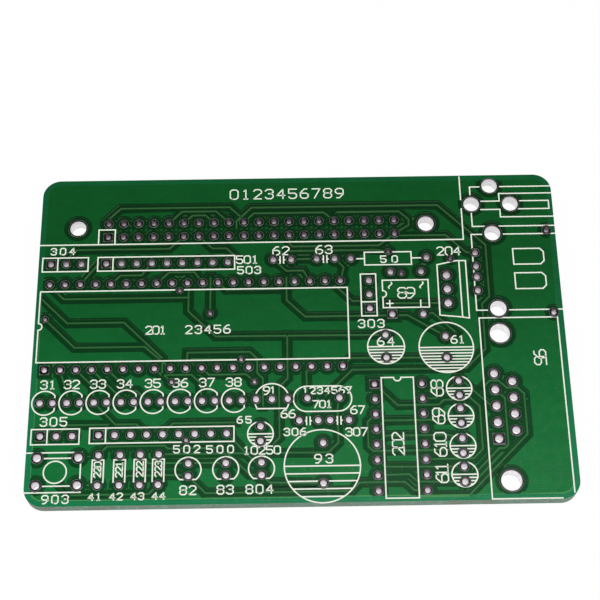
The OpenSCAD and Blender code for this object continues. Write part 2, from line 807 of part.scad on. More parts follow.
laminate();
copper_top();
copper_bottom();
mask_top();
mask_bottom();
outline_ink();
processor_pads();
header_pads();
driver_pads();
jumper_pads();
resistor_pack_pads();
resistor_pads();
lamp_pads();
indicator_pads();
ceramic_capacitor_pads();
electrolytic_capacitor_pads();
crystal_pads();
transistor_pads();
buzzer_pads();
bridge_pads();
regulator_pads();
switch_pads();
usb_contact_pads();
usb_shell_pads();
power_jack_pads();
d_contact_pads();
d_screw_pads();
fixing_pads();
edge_pads();
vias();
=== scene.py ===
import json
import math
import random

import bpy
import numpy as np
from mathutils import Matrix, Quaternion, Vector


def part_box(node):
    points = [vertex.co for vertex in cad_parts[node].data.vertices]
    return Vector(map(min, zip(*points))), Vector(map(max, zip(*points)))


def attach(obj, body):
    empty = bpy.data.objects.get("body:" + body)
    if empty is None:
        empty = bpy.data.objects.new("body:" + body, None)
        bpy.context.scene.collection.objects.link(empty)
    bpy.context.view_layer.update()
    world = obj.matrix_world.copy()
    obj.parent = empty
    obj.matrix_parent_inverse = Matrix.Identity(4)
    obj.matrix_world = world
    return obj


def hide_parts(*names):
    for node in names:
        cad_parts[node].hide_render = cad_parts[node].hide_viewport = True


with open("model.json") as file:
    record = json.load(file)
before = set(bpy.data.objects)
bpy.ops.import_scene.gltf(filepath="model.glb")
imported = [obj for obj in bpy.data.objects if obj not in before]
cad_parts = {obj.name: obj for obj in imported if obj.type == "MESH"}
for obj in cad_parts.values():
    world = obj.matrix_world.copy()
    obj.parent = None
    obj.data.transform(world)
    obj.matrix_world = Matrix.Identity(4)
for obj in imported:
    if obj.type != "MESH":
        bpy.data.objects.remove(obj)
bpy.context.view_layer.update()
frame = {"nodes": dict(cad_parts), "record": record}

MM = 0.001
random.seed(7)

PAD_NODES = sorted(n for n in frame["nodes"] if n.endswith("_pads") or n == "vias")

# Heights and half sizes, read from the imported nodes. The printed ink lies on the mask's top
TOP, INK_TOP = (corner.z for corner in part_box("outline_ink"))
MIDDLE = TOP / 2
PAD_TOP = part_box("processor_pads")[1].z
HALF_L, HALF_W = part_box("laminate")[1].x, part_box("laminate")[1].y

# Layout origin: the first hole in the processor's back row
PAD_RADIUS = 0.75 * MM
ORIGIN = Vector((
    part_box("processor_pads")[0].x + PAD_RADIUS,
    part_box("processor_pads")[1].y - PAD_RADIUS,
))


# ---------------------------------------------------------------- node helpers

# The Wave Texture has 20 / tau ridges a unit at scale 1
WAVE_SCALE = math.tau / 20


class Graph:
    """Adds shader nodes to one tree. An input's value is a number, a colour or a node's socket."""

    def __init__(self, tree):
        self.tree = tree
        tree.nodes.clear()

    def set(self, node, key, value):
        if isinstance(value, bpy.types.NodeSocket):
            self.tree.links.new(value, node.inputs[key])
        else:
            node.inputs[key].default_value = value

    def add(self, kind, inputs=None, **settings):
        node = self.tree.nodes.new("ShaderNode" + kind)
        for name, value in settings.items():
            setattr(node, name, value)
        for key, value in (inputs or {}).items():
            self.set(node, key, value)
        return node

    def math(self, operation, a, b=0.0):
        return self.add("Math", {0: a, 1: b}, operation=operation).outputs[0]

    def mix(self, factor, a, b, blend="MIX"):
        """Colour a blended into colour b. A Mix node's colours are inputs 6 and 7 and output 2."""
        node = self.add("Mix", {0: factor, 6: a, 7: b}, data_type="RGBA", blend_type=blend)
        return node.outputs[2]

    def times(self, a, b):
        return self.mix(1.0, a, b, "MULTIPLY")

    def grey(self, level):
        """A grey colour from one value."""
        return self.add("CombineColor", {0: level, 1: level, 2: level}).outputs[0]

    def ease(self, value, low, high, start=0.0, end=1.0):
        """A smooth step from start to end while the value goes from low to high."""
        inputs = {"Value": value, "From Min": low, "From Max": high, "To Min": start, "To Max": end}
        return self.add("MapRange", inputs, interpolation_type="SMOOTHSTEP").outputs[0]

    def place(self):
        return self.add("NewGeometry").outputs["Position"]

    def along(self, axis):
        return self.add("SeparateXYZ", {0: self.place()}).outputs[axis]

    def rise(self):
        """Distance above or below the middle of the board's thickness."""
        return self.math("ABSOLUTE", self.math("SUBTRACT", self.along("Z"), MIDDLE))

    def noise(self, size, detail=2.0, stretch=(1, 1, 1)):
        """Noise from 0 to 1, with features about size metres across, longer on a stretched axis."""
        mapping = self.add("Mapping", {"Vector": self.place(), "Scale": [1 / s for s in stretch]})
        inputs = {"Vector": mapping.outputs[0], "Scale": 1 / size, "Detail": detail}
        return self.add("TexNoise", inputs).outputs[0]

    def specks(self, spacing, radius):
        """1 inside small round specks, about one for each cell of the spacing, else 0."""
        inputs = {"Vector": self.place(), "Scale": 1 / spacing, "Randomness": 1.0}
        distance = self.add("TexVoronoi", inputs).outputs["Distance"]
        return self.ease(distance, radius / spacing, radius / spacing * 0.6)

    def waves(self, pitch, axis, wobble):
        """Fine parallel ridges across an axis, from 0 to 1."""
        inputs = {
            "Vector": self.place(), "Scale": WAVE_SCALE / pitch, "Distortion": wobble,
            "Detail": 2.0, "Detail Scale": 0.6,
        }
        return self.add("TexWave", inputs, bands_direction=axis).outputs[1]

    def bump(self, height, depth, strength=1.0):
        inputs = {"Height": height, "Distance": depth, "Strength": strength}
        return self.add("Bump", inputs).outputs[0]


def finish(name, build, **uniform):
    """A material with one Principled shader: uniform values, and the sockets that build returns."""
    made = bpy.data.materials.new(name)
    made.use_nodes = True
    graph = Graph(made.node_tree)
    shader = graph.add("BsdfPrincipled", {key.replace("_", " "): v for key, v in uniform.items()})
    for key, socket in build(graph).items():
        graph.set(shader, key, socket)
    output = graph.add("OutputMaterial")
    graph.tree.links.new(shader.outputs[0], output.inputs[0])
    return made


# ---------------------------------------------------------------- materials

# The mask's green with painted shade at the board's back and painted sheen at its front, a painted
# highlight over a track and a painted highlight line on the copper's outermost edge
MASK_BACK_SHADED = (0.0020, 0.073, 0.0130, 1.0)
MASK_FRONT_SHEEN = (0.0040, 0.142, 0.0320, 1.0)
MASK_TRACK_HIGHLIGHT = (0.055, 0.130, 0.040, 1.0)
MASK_EDGE_HIGHLIGHT = (0.060, 0.250, 0.070, 1.0)
MASK_SPECK = (0.25, 0.5, 0.3, 1.0)
# Multiples of that green: thinned, outside the fill of copper, and over bare laminate inside it
MASK_THIN = (1.6, 1.1, 1.3, 1.0)
MASK_BORDER = (1.3, 1.2, 1.9, 1.0)
MASK_BARE = (0.06, 0.36, 0.32, 1.0)
GLASS_EDGE = (0.09, 0.185, 0.135, 1.0)
GLASS_PALE = (0.28, 0.36, 0.29, 1.0)
GLASS_BROWN = (0.14, 0.14, 0.105, 1.0)
GLASS_LAYER = (0.16, 0.2, 0.13, 1.0)
# Tin with painted light: painted light down a narrow hole and down a wide one, painted shade at a
# narrow hole's mouth, and a painted dark reflection on a pad's crown, darker still at its foot
TIN_LIT_BORE = (0.96, 0.92, 0.95, 1.0)
TIN_LIT_WIDE_BORE = (0.95, 0.93, 0.94, 1.0)
TIN_SHADED_MOUTH = (0.80, 0.74, 0.78, 1.0)
TIN_RIM_DARK_REFLECTION = (0.15, 0.10, 0.14, 1.0)
TIN_FOOT_DARK_REFLECTION = (0.035, 0.022, 0.032, 1.0)
BORE_ROUGH = 0.22
COPPER = (0.55, 0.25, 0.12, 1.0)
COPPER_STAIN = (0.38, 0.16, 0.08, 1.0)
INK = (0.74, 0.77, 0.68, 1.0)
INK_THIN = (0.50, 0.58, 0.46, 1.0)

# The fill of copper stops short of the board's edge, and its corners are round like the board's
EDGE_GAP = 0.95 * MM
CORNER = 3.0 * MM
FILL_REACH = CORNER - EDGE_GAP

# Places along y between which the mask's painted sheen and the holes' painted light grow, from back
# to front
SHEEN_FADE = 0.66 * HALF_W, -1.05 * HALF_W
HOLE_LIGHT_FADE = 0.95 * HALF_W, -0.1 * HALF_W
# Painted light in the backmost holes, as a share of the painted light in the front ones
NARROW_BACK_LIGHT, WIDE_BACK_LIGHT = 0.5, 0.86


def border_share(g):
    """1 outside the fill of copper, along the board's edge, else 0."""
    x = g.math("SUBTRACT", g.math("ABSOLUTE", g.along("X")), HALF_L - CORNER)
    y = g.math("SUBTRACT", g.math("ABSOLUTE", g.along("Y")), HALF_W - CORNER)
    beyond = {0: g.math("MAXIMUM", x, 0.0), 1: g.math("MAXIMUM", y, 0.0)}
    vector = g.add("CombineXYZ", beyond).outputs[0]
    out = g.add("VectorMath", {0: vector}, operation="LENGTH").outputs["Value"]
    inner = g.math("MINIMUM", g.math("MAXIMUM", x, y), 0.0)
    reach = g.math("ADD", out, inner)
    return g.ease(reach, FILL_REACH - 0.01 * MM, FILL_REACH + 0.05 * MM)


def film_with_painted_sheen(g, in_front=MASK_FRONT_SHEEN):
    """The mask's green, darker at the back as painted shade and paler to the front as painted
    sheen.
    """
    return g.mix(g.ease(g.along("Y"), *SHEEN_FADE), MASK_BACK_SHADED, in_front)


def mask_surface(g, colour):
    """The glass weave showing through the mask, its gloss and a few specks, on a green."""
    weave = g.math("MULTIPLY", g.waves(0.42 * MM, "Y", 1.2), 0.7)
    weave = g.math("ADD", weave, g.math("MULTIPLY", g.waves(0.48 * MM, "X", 1.2), 0.3))
    cloud = g.noise(2.5 * MM, 4, (2.5, 1, 1))
    tone = g.math("ADD", g.ease(weave, 0.0, 1.0, 0.91, 1.07), g.ease(cloud, 0.3, 0.7, -0.05, 0.05))
    specks = g.math("MULTIPLY", g.specks(9 * MM, 0.16 * MM), 0.15)
    colour = g.mix(specks, g.times(colour, g.grey(tone)), MASK_SPECK)
    relief = g.math("ADD", weave, g.math("MULTIPLY", g.noise(0.25 * MM, 3), 0.8))
    return {
        "Base Color": colour,
        "Roughness": g.ease(g.noise(1.2 * MM, 3), 0.3, 0.7, 0.20, 0.28),
        "Normal": g.bump(relief, 0.003 * MM, 0.3),
    }


def mask_finish(g):
    """Solder mask: dark over bare laminate, lighter on the copper and along the board's edge, with
    painted shade at the back and painted sheen to the front.
    """
    on_copper = g.ease(g.rise(), MIDDLE - 0.012 * MM, MIDDLE - 0.004 * MM)
    green = film_with_painted_sheen(g)
    low = g.mix(border_share(g), g.times(green, MASK_BARE), g.times(green, MASK_BORDER))
    return mask_surface(g, g.mix(on_copper, low, green))


def bare_mask_finish(g):
    """Mask on the slopes beside copper and just over the rim of the copper's fill."""
    return mask_surface(g, g.times(film_with_painted_sheen(g), MASK_BARE))


def track_mask_and_highlight_finish(g):
    """Mask thinned over a track, so that the copper shows through it, half mixed with a painted
    highlight.
    """
    return mask_surface(g, g.mix(0.5, g.times(film_with_painted_sheen(g), MASK_THIN), MASK_TRACK_HIGHLIGHT))


def edge_highlight_mask_finish(g):
    """Mask over the outermost edge of the copper, a painted highlight line that pales towards the
    front.
    """
    return mask_surface(g, film_with_painted_sheen(g, MASK_EDGE_HIGHLIGHT))


def laminate_finish(g):
    """Glass-epoxy: cloth layers at the routed edge, with pale torn fibres."""
    layers = g.waves(0.2 * MM, "Z", 0.8)
    fibres = g.noise(0.35 * MM, 5, (2.5, 2.5, 1))
    pale = g.ease(fibres, 0.45, 0.72)
    colour = g.mix(pale, GLASS_EDGE, GLASS_PALE)
    colour = g.mix(g.ease(g.noise(3 * MM, 3), 0.45, 0.65, 0.0, 0.7), colour, GLASS_BROWN)
    colour = g.mix(g.math("MULTIPLY", layers, 0.25), colour, GLASS_LAYER)
    return {
        "Base Color": colour,
        "Roughness": g.ease(fibres, 0.3, 0.7, 0.55, 0.8),
        "Normal": g.bump(g.math("ADD", fibres, layers), 0.03 * MM, 0.5),
    }


def tin_surface(g, mouth, wall, back_light):
    """Levelled tin with painted light: a painted dark reflection on the pad's mirror-like ring, and
    painted light down the duller hole, brighter deeper down and to the front.
    """
    rise = g.rise()
    pad_top = PAD_TOP - MIDDLE
    depth = g.ease(rise, 0.9 * MIDDLE, 0.25 * MIDDLE)
    inside = g.ease(rise, pad_top - 0.02 * MM, pad_top - 0.08 * MM)
    crown = g.ease(rise, pad_top + 0.004 * MM, pad_top + 0.026 * MM)
    # Painted light down the hole: brighter deeper down and towards the front
    light = g.ease(g.along("Y"), *HOLE_LIGHT_FADE, back_light)
    lit_bore = g.times(g.mix(depth, mouth, wall), g.grey(light))
    patches = g.ease(g.noise(0.6 * MM, 3), 0.3, 0.7, 0.86, 1.0)
    polish = g.ease(g.noise(0.4 * MM, 2), 0.3, 0.7, 0.16, 0.26)
    # Painted dark reflection on the ring, darker at its foot, over the painted light down the hole
    colour = g.mix(inside, g.mix(crown, TIN_FOOT_DARK_REFLECTION, TIN_RIM_DARK_REFLECTION), lit_bore)
    return {
        "Base Color": g.times(colour, g.grey(patches)),
        "Roughness": g.math("ADD", g.math("MULTIPLY", inside, BORE_ROUGH), polish),
        "Normal": g.bump(g.noise(0.3 * MM, 2), 0.01 * MM, 0.2),
    }


def tin_finish(g):
    return tin_surface(g, TIN_SHADED_MOUTH, TIN_LIT_BORE, NARROW_BACK_LIGHT)


def wide_tin_finish(g):
    """The same tin with brighter painted light, for holes wide enough for light to fill them."""
    return tin_surface(g, TIN_LIT_WIDE_BORE, TIN_LIT_WIDE_BORE, WIDE_BACK_LIGHT)


def copper_finish(g):
    stains = g.ease(g.noise(1.5 * MM, 4), 0.4, 0.7)
    return {
        "Base Color": g.mix(stains, COPPER, COPPER_STAIN),
        "Roughness": g.ease(stains, 0.0, 1.0, 0.3, 0.5),
    }


def ink_finish(g):
    """Screen-printed ink: matt off-white, thinner in places so that the green shows through."""
    thin = g.ease(g.noise(0.3 * MM, 4), 0.55, 0.75, 0.0, 0.6)
    return {
        "Base Color": g.mix(thin, INK, INK_THIN),
        "Roughness": g.ease(g.noise(0.1 * MM, 2), 0.3, 0.7, 0.5, 0.7),
        "Normal": g.bump(g.noise(0.12 * MM, 3), 0.01 * MM, 0.4),
    }


FINISHES = {
    "mask": finish("solder_mask", mask_finish, IOR=1.38),
    "laminate": finish("glass_epoxy", laminate_finish, IOR=1.5),
    "tin": finish("tin_with_painted_light", tin_finish, Metallic=1.0),
    "copper": finish("copper_foil", copper_finish, Metallic=1.0),
    "ink": finish("printed_ink", ink_finish, IOR=1.45),
}
WIDE_LIT_TIN = finish("wide_tin_with_painted_light", wide_tin_finish, Metallic=1.0)
BARE_MASK = finish("solder_mask_bare", bare_mask_finish, IOR=1.38)
TRACK_MASK_AND_HIGHLIGHT = finish("solder_mask_track_and_painted_highlight", track_mask_and_highlight_finish, IOR=1.38)
OUTER_EDGE_HIGHLIGHT_MASK = finish("solder_mask_painted_edge_highlight", edge_highlight_mask_finish, IOR=1.38)


# ---------------------------------------------------------------- mesh helpers

# Points nearer than this are one, and faces this level are flat
WELD = 0.0005 * MM
LEVEL = 0.001 * MM
# A pad that reaches this many of its half widths is square
SQUARE_REACH = 1.2
# Below this, a mitre at a sharp bend is held back
MITRE_LIMIT = 0.6


def add_piece(name, points, faces, slot, smooth=False, look=None):
    """A new mesh piece on the board in one material slot, with that slot's finish or another."""
    mesh = bpy.data.meshes.new(name)
    mesh.from_pydata([tuple(p) for p in points], [], faces)
    mesh.update()
    mesh.polygons.foreach_set("use_smooth", [smooth] * len(faces))
    mesh.materials.append(look or FINISHES[slot])
    piece = bpy.data.objects.new(name, mesh)
    bpy.context.scene.collection.objects.link(piece)
    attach(piece, "root")
    return piece


def welded(node):
    """A node's points, merged where they coincide, and its triangles as indices into them."""
    mesh = frame["nodes"][node].data
    mesh.calc_loop_triangles()
    points = np.array([v.co for v in mesh.vertices])
    cells = np.round(points / WELD).astype(np.int64)
    keys, back = np.unique(cells, axis=0, return_inverse=True)
    triangles = np.array([t.vertices for t in mesh.loop_triangles])
    return keys * WELD, back.reshape(-1)[triangles]


def islands(node):
    """The points of each separate solid in a node."""
    points, triangles = welded(node)
    group = list(range(len(points)))

    def top(i):
        while group[i] != i:
            group[i] = group[group[i]]
            i = group[i]
        return i

    for a, b, c in triangles:
        group[top(a)] = group[top(b)] = top(c)
    members = {}
    for i in range(len(points)):
        members.setdefault(top(i), []).append(i)
    return [points[m] for m in members.values()]


def measure_pad(points):
    """(centre, hole radius, half width, whether square) of one plated hole."""
    low, high = points.min(0), points.max(0)
    centre = (low[:2] + high[:2]) / 2
    reach = np.linalg.norm(points[:, :2] - centre, axis=1)
    half = (high[0] - low[0]) / 2
    return Vector(centre), reach.min(), half, reach.max() > SQUARE_REACH * half


PADS = {node: [measure_pad(p) for p in islands(node)] for node in PAD_NODES}


# ---------------------------------------------------------------- tinned pads

AROUND = 32
# The crown's height, the share of it that a lopsided crown may reach, and how lopsided it may be
DOME = 0.034 * MM
HIGHEST = 0.85
LEAN = 0.1, 0.45
# Radius above which a hole is wide enough to have its own look
WIDE_HOLE = 1.0 * MM
# Bluntness of a square pad's corners
BLUNT = 8
# Profile from the pad's foot, over the tin's crown, to the mouth of the hole:
# (share of the ring's width outside the hole, share of the crown's height)
CROWN = [
    (1.0, -1.2), (1.0, -0.2), (0.97, 0.2), (0.88, 0.6), (0.72, 0.9), (0.5, 1.0),
    (0.3, 0.85), (0.14, 0.45), (0.04, -0.2), (0.0, -1.0),
]


def pad_outline(angle, half, is_square):
    """Distance from the centre to the pad's edge."""
    if not is_square:
        return half
    return half / (abs(math.cos(angle)) ** BLUNT + abs(math.sin(angle)) ** BLUNT) ** (1 / BLUNT)


def tinned_pad(centre, hole, half, is_square, points, faces):
    """Adds one plated hole: a tinned ring with a low crown on both sides of a barrel."""
    lean = random.uniform(*LEAN)
    lean_to = random.uniform(0, math.tau)
    first = len(points)
    rings = [(share, rise, 1) for share, rise in CROWN]
    rings += [(share, rise, -1) for share, rise in reversed(CROWN)]
    for share, rise, side in rings:
        for step in range(AROUND):
            angle = math.tau * step / AROUND
            edge = pad_outline(angle, half, is_square)
            reach = hole + (edge - hole) * share
            swell = max(rise, 0) * (1 + lean * math.cos(angle - lean_to)) + min(rise, 0)
            level = PAD_TOP - MIDDLE + DOME * min(swell, HIGHEST)
            points.append((
                centre.x + reach * math.cos(angle),
                centre.y + reach * math.sin(angle),
                MIDDLE + side * level,
            ))
    for ring in range(len(rings)):
        for step in range(AROUND):
            a = first + ring * AROUND
            b = first + (ring + 1) % len(rings) * AROUND
            after = (step + 1) % AROUND
            faces.append((a + step, b + step, b + after, a + after))


for node in PAD_NODES:
    points, faces = [], []
    for pad in PADS[node]:
        tinned_pad(*pad, points, faces)
    look = WIDE_LIT_TIN if PADS[node][0][1] > WIDE_HOLE else None
    piece = add_piece("tinned_" + node, points, faces, "tin", smooth=True, look=look)
    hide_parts(node)


# ---------------------------------------------------------------- mask slopes and rims

# Drop of the mask from the copper to the laminate, and the slope down it:
# (distance out from the copper's edge, share of the drop)
VALLEY = 0.045 * MM
SLOPE = [(0.0, 0.0), (0.015 * MM, 0.1), (0.05 * MM, 0.9), (0.07 * MM, 1.0)]
# How far in from the copper's edge the look of its rim reaches, and how far it lies over the mask
RIMS = {"fill": 0.24 * MM, "track": 0.12 * MM, "outer": 0.10 * MM}
LIFT = 0.0008 * MM
# Copper that ends within this distance in from its edge is a track
TRACK_TEST = 0.4 * MM
EDGE_TOLERANCE = 0.03 * MM
# Over a track the rim carries a painted highlight; on the outermost edge the slope and the rim
# carry a painted highlight line
SLOPE_LOOKS = {"slope": BARE_MASK, "fill": BARE_MASK, "track": TRACK_MASK_AND_HIGHLIGHT, "outer": OUTER_EDGE_HIGHLIGHT_MASK}


def outline_edges(node, level):
    """Directed edges round the flat areas of a node at one height, with their solid on the left."""
    points, triangles = welded(node)
    flat = np.all(abs(points[triangles][:, :, 2] - level) < LEVEL, axis=1)
    directed = set()
    for triangle in triangles[flat]:
        a, b, c = (points[i] for i in triangle)
        turn = (b[0] - a[0]) * (c[1] - a[1]) - (b[1] - a[1]) * (c[0] - a[0])
        order = triangle if turn > 0 else triangle[::-1]
        for i in range(3):
            directed.add((int(order[i]), int(order[(i + 1) % 3])))
    return points, sorted((a, b) for a, b in directed if (b, a) not in directed)


def inside_outline(point, starts, ends):
    """Whether a point lies within the outline, by counting the edges to its right."""
    spans = (starts[:, 1] > point[1]) != (ends[:, 1] > point[1])
    a, b = starts[spans], ends[spans]
    cross = a[:, 0] + (point[1] - a[:, 1]) * (b[:, 0] - a[:, 0]) / (b[:, 1] - a[:, 1])
    return np.count_nonzero(cross > point[0]) % 2 == 1


def border_reach(point):
    """How far a point lies out from the inner corner circles of the board's rounded outline."""
    x, y = abs(point[0]) - (HALF_L - CORNER), abs(point[1]) - (HALF_W - CORNER)
    return math.hypot(max(x, 0), max(y, 0)) + min(max(x, y), 0)


def edge_kind(middle, outward, starts, ends):
    """Whether an edge of the copper bounds its fill, a track or, outermost, the board's border."""
    if border_reach(middle) > FILL_REACH - EDGE_TOLERANCE:
        return "outer"
    return "fill" if inside_outline(middle - outward * TRACK_TEST, starts, ends) else "track"


def mitre_all(edges, outwards):
    """For each corner, the outward step that moves both its edges out by one."""
    normals = {}
    for edge, outward in zip(edges, outwards):
        for corner in edge:
            normals.setdefault(corner, []).append(outward)
    return {
        corner: sum(around) / max(np.linalg.norm(sum(around)) ** 2 / len(around), MITRE_LIMIT)
        for corner, around in normals.items()
    }


def shoulder(node, high, low):
    """The mask's slope round every edge of the copper beneath it and, on the top, its rim."""
    points, edges = outline_edges(node, high)
    starts = points[[a for a, _ in edges]][:, :2]
    ends = points[[b for _, b in edges]][:, :2]
    outwards = []
    for start, end in zip(starts, ends):
        along = (end - start) / max(np.linalg.norm(end - start), 1e-9)
        outwards.append(np.array((along[1], -along[0])))
    mitres = mitre_all(edges, outwards)
    on_top = high > low
    strips = {kind: ([], []) for kind in SLOPE_LOOKS}

    def strip(kind, edge, section):
        made, faces = strips[kind]
        first, size = len(made), len(section)
        for corner in edge:
            for reach, z in section:
                x, y = points[corner][:2] + mitres[corner] * reach
                made.append((x, y, z))
        for k in range(first, first + size - 1):
            quad = (k, k + 1, k + 1 + size, k + size)
            faces.append(quad if on_top else quad[::-1])

    slope = [(reach, high + (low - high) * share) for reach, share in SLOPE]
    for edge, start, end, outward in zip(edges, starts, ends, outwards):
        kind = edge_kind((start + end) / 2, outward, starts, ends)
        strip("outer" if kind == "outer" else "slope", edge, slope)
        if on_top:
            strip(kind, edge, [(-RIMS[kind], high + LIFT), (0.0, high + LIFT)])
    for kind, (made, faces) in strips.items():
        if faces:
            add_piece(node + "_" + kind, made, faces, "mask", look=SLOPE_LOOKS[kind])


shoulder("mask_top", TOP, TOP - VALLEY)
shoulder("mask_bottom", 0.0, VALLEY)


# ---------------------------------------------------------------- printed numbers

# Strokes of each digit, and of the bridge's wave, on a grid 4 wide and 6 high
DIGITS = {
    "0": [[(1, 0), (3, 0), (4, 1), (4, 5), (3, 6), (1, 6), (0, 5), (0, 1), (1, 0)]],
    "1": [[(1, 5), (2, 6), (2, 0)], [(1, 0), (3, 0)]],
    "2": [[(0, 5), (1, 6), (3, 6), (4, 5), (4, 3.8), (0, 0), (4, 0)]],
    "3": [
        [(0, 5), (1, 6), (3, 6), (4, 5), (4, 4), (3, 3.2), (4, 2.2), (4, 1), (3, 0), (1, 0),
            (0, 1)],
        [(1.6, 3.2), (3, 3.2)],
    ],
    "4": [[(3, 0), (3, 6), (0, 2), (4, 2)]],
    "5": [[(4, 6), (0, 6), (0, 3.4), (3, 3.4), (4, 2.5), (4, 1), (3, 0), (1, 0), (0, 1)]],
    "6": [
        [(3.4, 6), (2, 6), (0, 3.6), (0, 1), (1, 0), (3, 0), (4, 1), (4, 2.4), (3, 3.3),
            (0.3, 3.3)],
    ],
    "7": [[(0, 6), (4, 6), (1.2, 0)]],
    "8": [
        [(1, 3.2), (0, 4), (0, 5), (1, 6), (3, 6), (4, 5), (4, 4), (3, 3.2), (4, 2.2), (4, 1),
            (3, 0), (1, 0), (0, 1), (0, 2.2), (1, 3.2), (3, 3.2)],
    ],
    "9": [
        [(0.6, 0), (2, 0), (4, 2.4), (4, 5), (3, 6), (1, 6), (0, 5), (0, 3.6), (1, 2.7),
            (3.7, 2.7)],
    ],
    "~": [[(1, 0), (0.4, 1), (1, 2.2), (2.6, 3.6), (3.4, 4.8), (2.8, 6)]],
}
GRID_W, GRID_H = 4, 6
# A digit's greatest width as a share of its height
WIDTH = 0.74
STROKE = 0.21 * MM
# Bare ring that the print leaves round each pad, and the steps in which a stroke is tested for it
CLEAR = 0.12 * MM
TRIM_STEP = 0.08 * MM
# Sides of a stroke's round end
CAP = 6

# Numbers printed beside the footprints: text, from and to along x and y in mm from the layout's
# origin, and turn in degrees
LABELS = [
    ("0123456789", 29.8, 49.3, 15.5, 17.5, 0),
    ("304", -0.2, 4.0, 5.4, 6.8, 0),
    ("501", 30.9, 34.7, 3.3, 4.9, 0), ("503", 31.1, 35.1, 1.4, 2.9, 0),
    ("62", 37.0, 39.9, 4.8, 6.5, 0), ("63", 44.2, 47.1, 4.9, 6.6, 0),
    ("50", 55.0, 58.0, 3.1, 4.5, 0),
    ("204", 64.5, 68.6, 4.3, 6.0, 0),
    ("89", 57.6, 60.6, -3.5, -1.4, 0),
    ("~", 56.0, 57.3, -1.7, -0.4, 0), ("~", 61.2, 62.4, -1.7, -0.4, 0),
    ("303", 50.9, 55.3, -8.7, -7.1, 0),
    ("64", 53.9, 56.8, -11.9, -10.3, 0), ("61", 65.9, 68.3, -11.7, -10.2, 0),
    ("201", 16.1, 19.6, -9.3, -7.7, 0), ("23456", 22.6, 30.1, -9.3, -7.7, 0),
    ("91", 35.3, 37.5, -20.1, -18.6, 0),
    ("1234567", 41.6, 49.6, -20.1, -18.8, 0), ("701", 43.2, 46.4, -22.5, -21.1, 0),
    ("66", 38.1, 40.5, -24.1, -22.6, 0), ("67", 49.2, 51.6, -23.6, -22.1, 0),
    ("306", 38.5, 42.2, -27.1, -25.7, 0), ("307", 48.3, 51.9, -27.3, -25.8, 0),
    ("65", 31.1, 33.5, -24.9, -23.6, 0), ("10250", 32.1, 38.1, -30.1, -28.6, 0),
    ("305", -0.2, 4.2, -24.9, -23.3, 0),
    ("502", 21.1, 25.4, -29.7, -28.3, 0), ("500", 26.3, 30.7, -29.8, -28.4, 0),
    ("903", 0.8, 5.1, -37.6, -36.1, 0),
    ("82", 22.2, 24.9, -36.5, -34.9, 0), ("83", 28.0, 30.7, -36.5, -34.9, 0),
    ("804", 32.5, 36.9, -36.5, -34.9, 0),
    ("93", 43.3, 46.3, -31.7, -30.1, 0),
    ("202", 55.6, 57.6, -30.6, -26.7, 90),
    ("68", 62.2, 64.3, -20.8, -17.9, 90), ("69", 62.2, 64.3, -25.5, -22.7, 90),
    ("610", 62.2, 64.3, -30.9, -26.8, 90), ("611", 62.2, 64.3, -35.2, -31.7, 90),
    ("95", 79.2, 81.3, -15.7, -12.9, -90),
]
# Rows of like labels: the lamps above, the upright resistors below and inside their boxes
for first, places, length, low, high, turn in (
    (31, (-0.5, 3.3, 7.5, 11.8, 16.3, 20.7, 25.0, 29.3), 2.6, -18.6, -17.0, 0),
    (41, (8.0, 11.3, 14.6, 17.9), 2.2, -37.2, -35.9, 0),
    (220, (8.7, 12.1, 15.35, 18.25), 1.25, -33.5, -30.8, 90),
):
    LABELS += [(str(first + i), x, x + length, low, high, turn) for i, x in enumerate(places)]


def strokes_of(text, x0, x1, y0, y1, turn):
    """Paths of a label that fills its box, in metres on the board."""
    turned = math.radians(turn)
    along = Vector((math.cos(turned), math.sin(turned)))
    up = Vector((-along.y, along.x))
    middle = ORIGIN + Vector((x0 + x1, y0 + y1)) / 2 * MM
    length, height = (y1 - y0, x1 - x0) if turn else (x1 - x0, y1 - y0)
    length, height = length * MM - STROKE, height * MM - STROKE
    wide = min(WIDTH * height, length)
    foot = middle - along * length / 2 - up * height / 2
    step = (length - wide) / max(len(text) - 1, 1)
    for i, digit in enumerate(text):
        start = foot + along * (i * step)
        for path in DIGITS[digit]:
            yield [
                start + along * (u * wide / GRID_W) + up * (v * height / GRID_H) for u, v in path
            ]


ALL_PADS = [pad for pads in PADS.values() for pad in pads]


def clear_of_pads(point):
    room = CLEAR + STROKE / 2
    return all((point - centre).length > half + room for centre, _, half, _ in ALL_PADS)


def trimmed(path):
    """The stretches of a path that keep clear of every pad."""
    fine = [path[0]]
    for a, b in zip(path, path[1:]):
        steps = max(1, math.ceil((b - a).length / TRIM_STEP))
        fine += [a.lerp(b, (k + 1) / steps) for k in range(steps)]
    run = []
    for point in fine:
        if clear_of_pads(point):
            run.append(point)
        else:
            if len(run) > 2:
                yield run
            run = []
    if len(run) > 2:
        yield run


